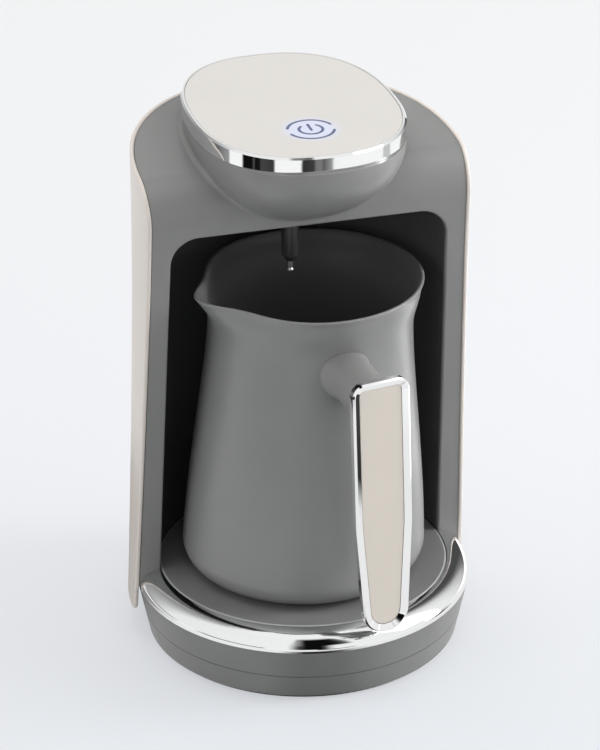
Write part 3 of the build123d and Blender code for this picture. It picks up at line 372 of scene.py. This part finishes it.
def wire_sleeve():
    """Glass-fibre sleeve: two sets of strands woven across each other."""
    finish = Finish("wire_sleeve", SLEEVE, roughness=0.75)
    strands = []
    for slant in (1, -1):
        weave = finish.node(
            "ShaderNodeTexWave", wave_type="BANDS", bands_direction="DIAGONAL", Scale=380
        )
        finish.link(finish.scaled((1, slant, 1)), weave.inputs["Vector"])
        strands.append(weave.outputs[1])
    cross = finish.math("MULTIPLY", *strands)
    finish.paint(finish.ramp(cross, (0.1, (0.3, 0.29, 0.25)), (0.8, (0.66, 0.64, 0.57))))
    finish.haze(200, low=0.65, high=0.85)
    finish.bump(cross, strength=0.6, depth=0.0002)
    return finish


def heater_steel():
    """Steel tube tinted straw and blue by its own heat."""
    finish = bare_metal("heater_steel", HEATED_STEEL, roughness=0.36, brush=(1, 1, 0.2))
    plain, straw, blue = (0.36, 0.36, 0.36), (0.42, 0.34, 0.22), (0.2, 0.2, 0.3)
    finish.paint(finish.ramp(finish.noise(45, detail=3), (0.3, plain), (0.5, straw), (0.68, blue)))
    return finish


def rubber():
    finish = Finish("black_rubber", RUBBER, roughness=0.78)
    finish.paint(finish.cloud(RUBBER, drift=0.2, scale=90.0))
    finish.haze(300, low=0.68, high=0.9)
    finish.grain(1400, strength=0.4, depth=0.0001, detail=3)
    return finish


def cast_metal():
    finish = Finish("cast_aluminium", ALUMINIUM, roughness=0.5, metallic=1.0)
    finish.paint(finish.cloud(ALUMINIUM, drift=0.12, scale=120.0))
    finish.haze(260, low=0.42, high=0.62)
    finish.grain(900, strength=0.5, depth=0.00015, detail=5)
    return finish


def lamp(name, color, light, strength):
    """A lit face, its light a little uneven."""
    finish = Finish(name, color, roughness=0.3)
    finish.paint(finish.cloud(color, drift=0.08, scale=90.0))
    finish.haze(200, low=0.25, high=0.4)
    glow = finish.cloud(light, drift=0.15, scale=120.0)
    finish.link(glow, finish.shader.inputs["Emission Color"])
    finish.shader.inputs["Emission Strength"].default_value = strength
    return finish


FINISHES = {
    "gray_plastic": moulded("gray_plastic", GRAY, roughness=0.38),
    # painted shade: the base's gray plastic, darkened copy of gray_plastic
    "shaded_base_plastic": moulded("shaded_base_plastic", SHADED_BASE_GRAY, roughness=0.42),
    # painted light: black plastic lightened for the niche, the probe's finish keeps the plain black
    "black_plastic": moulded("black_plastic", BLACK, roughness=0.36, grain=0.2, drift=0.08),
    "probe_plastic": moulded(
        "probe_plastic", PROBE_BLACK, roughness=0.3, grain=0.15, drift=0.1
    ),
    "cream_plastic": moulded(
        "cream_plastic", CREAM, roughness=0.32, grain=0.1, drift=0.015, uneven=0.04
    ),
    "cream_panel": panel_cream(),
    "cream_insert": moulded(
        "cream_insert", INSERT_CREAM, roughness=0.34, grain=0.1, drift=0.008, uneven=0.03
    ),
    "chrome_trim": chrome(),
    "plate_metal": plate_metal(),
    "jug_coating": jug_coating(),
    "black_rubber": rubber(),
    "cast_aluminium": cast_metal(),
    "heater_steel": heater_steel(),
    "steel": bare_metal("steel", STEEL, roughness=0.28, brush=(1, 1, 0.15)),
    "component_plastic": moulded(
        "component_plastic", COMPONENT, roughness=0.4, grain=0.3, drift=0.25, grain_scale=900
    ),
    "circuit_board": circuit_board(),
    "terminal_plastic": moulded(
        "terminal_plastic", TERMINAL, roughness=0.45, grain=0.3, drift=0.04, grain_scale=1500
    ),
    "light_guide": moulded(
        "light_guide",
        CLEAR,
        roughness=0.16,
        grain=0.2,
        drift=0.03,
        grain_scale=1200,
        Transmission_Weight=0.85,
    ),
    "lamp": lamp("lamp", LAMP_FACE, light=LAMP_LIGHT, strength=1.2),
    "wire_sleeve": wire_sleeve(),
}
OWN_FINISH = {
    "base_housing": "shaded_base_plastic",
    "bottom_cover": "shaded_base_plastic",
    "head_top_panel": "cream_panel",
    "handle_insert": "cream_insert",
    "probe_body": "probe_plastic",
}
for name, part in nodes.items():
    slot = OWN_FINISH.get(name, part.data.materials[0].name)
    part.data.materials[0] = FINISHES[slot].material

# ---------------------------------------------------------------- lit symbol
PANEL_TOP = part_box("head_top_panel")[1][2]
ICON_STROKE = 0.0013
ICON_PROUD = 0.00004
POWER_RADIUS = 0.0053
ARC_HALF_SPAN = 72
ARC_POINTS = 49
END_STEPS = 10  # how many steps round a stroke's end
POWER_HALF_GAP = 42
BAR_BACK = 0.0054
BAR_FRONT = -0.0011
ICON_FACE = (0.06, 0.08, 0.17)
ICON_LIGHT = (0.16, 0.2, 0.5)
icon_finish = lamp("icon_light", ICON_FACE, light=ICON_LIGHT, strength=0.06)


def arc_points(radius, middle, half_span):
    """Points of an arc of the symbol, in degrees from straight back."""
    cx, cy = ICON_CENTER
    steps = [2 * half_span * i / (ARC_POINTS - 1) for i in range(ARC_POINTS)]
    angles = [math.radians(middle - half_span + step) for step in steps]
    return [Vector((cx + radius * math.sin(a), cy + radius * math.cos(a))) for a in angles]


def icon_stroke(name, points):
    """A thin raised stroke with round ends along the points."""
    half = ICON_STROKE / 2
    rows = []
    for index, point in enumerate(points):
        before = points[max(index - 1, 0)]
        after = points[min(index + 1, len(points) - 1)]
        along = (after - before).normalized()
        rows.append((point, along, Vector((-along.y, along.x))))
    first, last = rows[0], rows[-1]
    turns = [math.pi * i / END_STEPS for i in range(1, END_STEPS)]
    outline = [point + side * half for point, _, side in rows]
    for turn in turns:
        outline.append(last[0] + (last[2] * math.cos(turn) + last[1] * math.sin(turn)) * half)
    outline += [point - side * half for point, _, side in reversed(rows)]
    for turn in turns:
        outline.append(first[0] - (first[2] * math.cos(turn) + first[1] * math.sin(turn)) * half)
    form = bmesh.new()
    upper, lower = (
        [form.verts.new((p.x, p.y, height)) for p in outline]
        for height in (PANEL_TOP + ICON_PROUD, PANEL_TOP - ICON_PROUD)
    )
    form.faces.new(upper)
    form.faces.new(lower)
    for i in range(len(outline)):
        form.faces.new((upper[i - 1], upper[i], lower[i], lower[i - 1]))
    bmesh.ops.recalc_face_normals(form, faces=form.faces)
    bmesh.ops.triangulate(form, faces=form.faces)
    mesh = bpy.data.meshes.new(name)
    form.to_mesh(mesh)
    form.free()
    made = bpy.data.objects.new(name, mesh)
    made.data.materials.append(icon_finish.material)
    scene.collection.objects.link(made)
    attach(made, "machine")


icon_stroke("icon_back_arc", arc_points(ICON_RADIUS, 0, ARC_HALF_SPAN))
icon_stroke("icon_front_arc", arc_points(ICON_RADIUS, 180, ARC_HALF_SPAN))
icon_stroke("icon_power_arc", arc_points(POWER_RADIUS, 180, 180 - POWER_HALF_GAP))
bar_ends = (BAR_FRONT, (BAR_FRONT + BAR_BACK) / 2, BAR_BACK)
icon_stroke("icon_power_bar", [Vector((ICON_CENTER[0], ICON_CENTER[1] + y)) for y in bar_ends])

# ---------------------------------------------------------------- floor
FLOOR_SIZE = 14
FLOOR_COLOR = (0.66, 0.672, 0.688)
FLOOR_SHOW = 0.6  # how much of what the camera sees is the backdrop, the rest is the lit floor
# The backdrop, from near to far along the camera's heading.
BACKDROP_HEADING = (0.279, 0.96)
BACKDROP_REACH = (-0.25, 0.85)
BACKDROP = (
    (0.0, (0.76, 0.79, 0.835)),
    (0.3, (0.86, 0.88, 0.92)),
    (0.62, (0.93, 0.94, 0.965)),
    (1.0, (1.0, 1.0, 1.0)),
)
# What polished pieces see, by degrees from straight ahead: bright panels with dark gaps between
# them. The floor has three rings of them. The base's trim sees the near one, the handle's bezel
# the middle one, and the ring round the head the far one.
NEAR_BANDS = (
    (-180, 0.12),
    (-135, 0.22),
    (-106, 0.28),
    (-92, 0.72),
    (-80, 0.9),
    (-26, 0.9),
    (-20, 0.4),
    (-14, 0.01),
    (-3, 0.03),
    (3, 0.15),
    (9, 0.6),
    (18, 0.9),
    (180, 0.9),
)
MIDDLE_BANDS = (
    (-180, 0.9),
    (63, 0.9),
    (66, 0.03),
    (75, 0.06),
    (79, 0.9),
    (97, 0.9),
    (100, 2.6),
    (140, 2.6),
    (150, 0.9),
    (180, 0.9),
)
FAR_BANDS = (
    (-180, 1.0),
    (-142, 1.0),
    (-138, 0.3),
    (-120, 0.14),
    (-106, 0.3),
    (-103, 0.3),
    (-101, 1.0),
    (-84, 1.0),
    (-82, 0.005),
    (-69, 0.005),
    (-67, 0.09),
    (-65, 0.005),
    (-59, 0.01),
    (-57, 0.06),
    (-40, 0.04),
    (-38, 1.0),
    (-8, 1.0),
    (-6.5, 0.03),
    (4.5, 0.05),
    (6, 0.2),
    (10, 0.2),
    (11, 0.1),
    (15.5, 0.32),
    (17, 1.0),
    (74, 1.0),
    (75, 0.6),
    (88, 0.6),
    (90, 1.0),
    (180, 1.0),
)
NEAR_EDGE = (0.19, 0.23)
MIDDLE_EDGE = (0.44, 0.5)
HEAD_Y = 0.0148  # middle of the head, which the floor's bands go round


def plane(name, size, place):
    mesh = bpy.data.meshes.new(name)
    half = size / 2
    corners = [(-half, -half, 0), (half, -half, 0), (half, half, 0), (-half, half, 0)]
    mesh.from_pydata(corners, [], [(0, 1, 2, 3)])
    made = bpy.data.objects.new(name, mesh)
    made.location = place
    scene.collection.objects.link(made)
    return made


def floor_paint():
    """The lit floor, the backdrop for the camera, and bands of light for polished pieces."""
    finish = Finish("floor_finish", FLOOR_COLOR, roughness=0.7)
    path = finish.node("ShaderNodeLightPath")
    x, y, _ = finish.axes(finish.place)
    right, ahead = BACKDROP_HEADING
    depth = finish.math("ADD", finish.math("MULTIPLY", x, right), finish.math("MULTIPLY", y, ahead))
    backdrop = finish.node("ShaderNodeEmission")
    far_back = finish.spread(depth, 0, 1, *BACKDROP_REACH)
    finish.link(finish.ramp(far_back, *BACKDROP), backdrop.inputs["Color"])
    turn = finish.turn(HEAD_Y)
    reach = finish.distance(0, HEAD_Y)
    near, middle, far = (
        finish.bands(turn, levels) for levels in (NEAR_BANDS, MIDDLE_BANDS, FAR_BANDS)
    )
    close = finish.mix(finish.spread(reach, 0, 1, *NEAR_EDGE), near, middle)
    mirrored = finish.node("ShaderNodeEmission")
    past_middle = finish.spread(reach, 0, 1, *MIDDLE_EDGE)
    finish.link(finish.mix(past_middle, close, far), mirrored.inputs["Color"])
    shown = finish.math("MULTIPLY", path.outputs["Is Camera Ray"], FLOOR_SHOW)
    plain = finish.mix_shaders(shown, finish.shader.outputs[0], backdrop.outputs[0])
    whole = finish.mix_shaders(path.outputs["Is Glossy Ray"], plain, mirrored.outputs[0])
    finish.link(whole, finish.tree.nodes["Material Output"].inputs["Surface"])
    return finish


floor = plane("floor", FLOOR_SIZE, (0, 0, 0))
floor.data.materials.append(floor_paint().material)

# ---------------------------------------------------------------- lamps
LAMPS = {
    "key_light": {
        "place": (1.45, -0.6, 1.25),
        "aim": (0, 0, 0.12),
        "size": (1.2, 1.6),
        "watts": 12,
    },
    "top_light": {
        "place": (-0.2, 0.2, 1.8),
        "aim": (0, 0, 0.1),
        "size": (1.6, 1.6),
        "watts": 14,
        "mirrored": False,
    },
    "edge_light": {
        "place": (1.2, -0.3, 0.45),
        "aim": (0, 0, 0.15),
        "size": (0.3, 0.9),
        "watts": 12,
    },
    "fill_light": {
        "place": (-1.25, -0.3, 0.4),
        "aim": (0, 0, 0.13),
        "size": (0.9, 1.2),
        "watts": 4,
        "mirrored": False,
    },
}


def area_light(name, place, aim, size, watts, mirrored=True):
    """A soft lamp that the camera doesn't see, and polished pieces only where mirrored."""
    made = bpy.data.objects.new(name, bpy.data.lights.new(name, "AREA"))
    made.data.shape = "RECTANGLE"
    made.data.size, made.data.size_y = size
    made.data.energy = watts
    made.location = place
    made.rotation_euler = (Vector(aim) - Vector(place)).to_track_quat("-Z", "Y").to_euler()
    made.visible_camera = False
    made.visible_glossy = mirrored
    scene.collection.objects.link(made)


for name, settings in LAMPS.items():
    area_light(name, **settings)

# ---------------------------------------------------------------- room
WORLD_LIGHT = 0.6
WORLD_SEEN = (0.965, 0.97, 0.98)
# What polished pieces see round the room, by degrees from straight ahead: bright, with a dark
# gap in front and dim corners at the back. Higher up, the gap in front is wider.
ROOM_LEFT = (
    (-180, 0.9),
    (-168, 0.6),
    (-150, 0.28),
    (-132, 0.48),
    (-112, 0.88),
    (-26, 0.94),
)
LOW_BANDS = (
    *ROOM_LEFT,
    (-22, 0.4),
    (-18, 0.05),
    (-14, 0.004),
    (-4, 0.004),
    (-1, 0.1),
    (2, 0.6),
    (6, 0.94),
    (98, 0.9),
    (112, 0.75),
    (124, 0.5),
    (131, 0.2),
    (138, 0.07),
    (150, 0.07),
    (158, 0.8),
    (180, 0.9),
)
HIGH_BANDS = (
    *ROOM_LEFT,
    (-21, 0.4),
    (-15, 0.004),
    (4, 0.004),
    (10, 0.02),
    (15, 0.15),
    (20, 0.94),
    (98, 0.9),
    (112, 0.75),
    (124, 0.4),
    (131, 0.15),
    (138, 0.07),
    (150, 0.07),
    (158, 0.8),
    (180, 0.9),
)
ROOM_HIGH = (0.38, 0.5)  # sine of the rise over which the low bands give way to the high ones
ROOM_CEILING = (0.9, 0.96)  # and over which those give way to the ceiling
CEILING = (0.94, 0.94, 0.94)

world = bpy.data.worlds.new("studio")
world.use_nodes = True
scene.world = world
sky = Nodes(world.node_tree, "Generated")
light_sky = world.node_tree.nodes["Background"]
light_sky.inputs["Color"].default_value = (1, 1, 1, 1)
light_sky.inputs["Strength"].default_value = WORLD_LIGHT
seen_sky = sky.node("ShaderNodeBackground", Color=(*WORLD_SEEN, 1), Strength=1.0)
mirror_sky = sky.node("ShaderNodeBackground", Strength=1.0)
sky_turn = sky.turn(0)
sky_rise = sky.axes(sky.place)[2]
low_room, high_room = (sky.bands(sky_turn, levels) for levels in (LOW_BANDS, HIGH_BANDS))
room = sky.mix(sky.spread(sky_rise, 0, 1, *ROOM_HIGH), low_room, high_room)
overhead = sky.spread(sky_rise, 0, 1, *ROOM_CEILING)
sky.link(sky.mix(overhead, room, CEILING), mirror_sky.inputs["Color"])
sky_path = sky.node("ShaderNodeLightPath")
unseen_sky = sky.mix_shaders(
    sky_path.outputs["Is Glossy Ray"], light_sky.outputs[0], mirror_sky.outputs[0]
)
whole_sky = sky.mix_shaders(sky_path.outputs["Is Camera Ray"], unseen_sky, seen_sky.outputs[0])
sky.link(whole_sky, world.node_tree.nodes["World Output"].inputs["Surface"])

scene.view_settings.view_transform = "Standard"
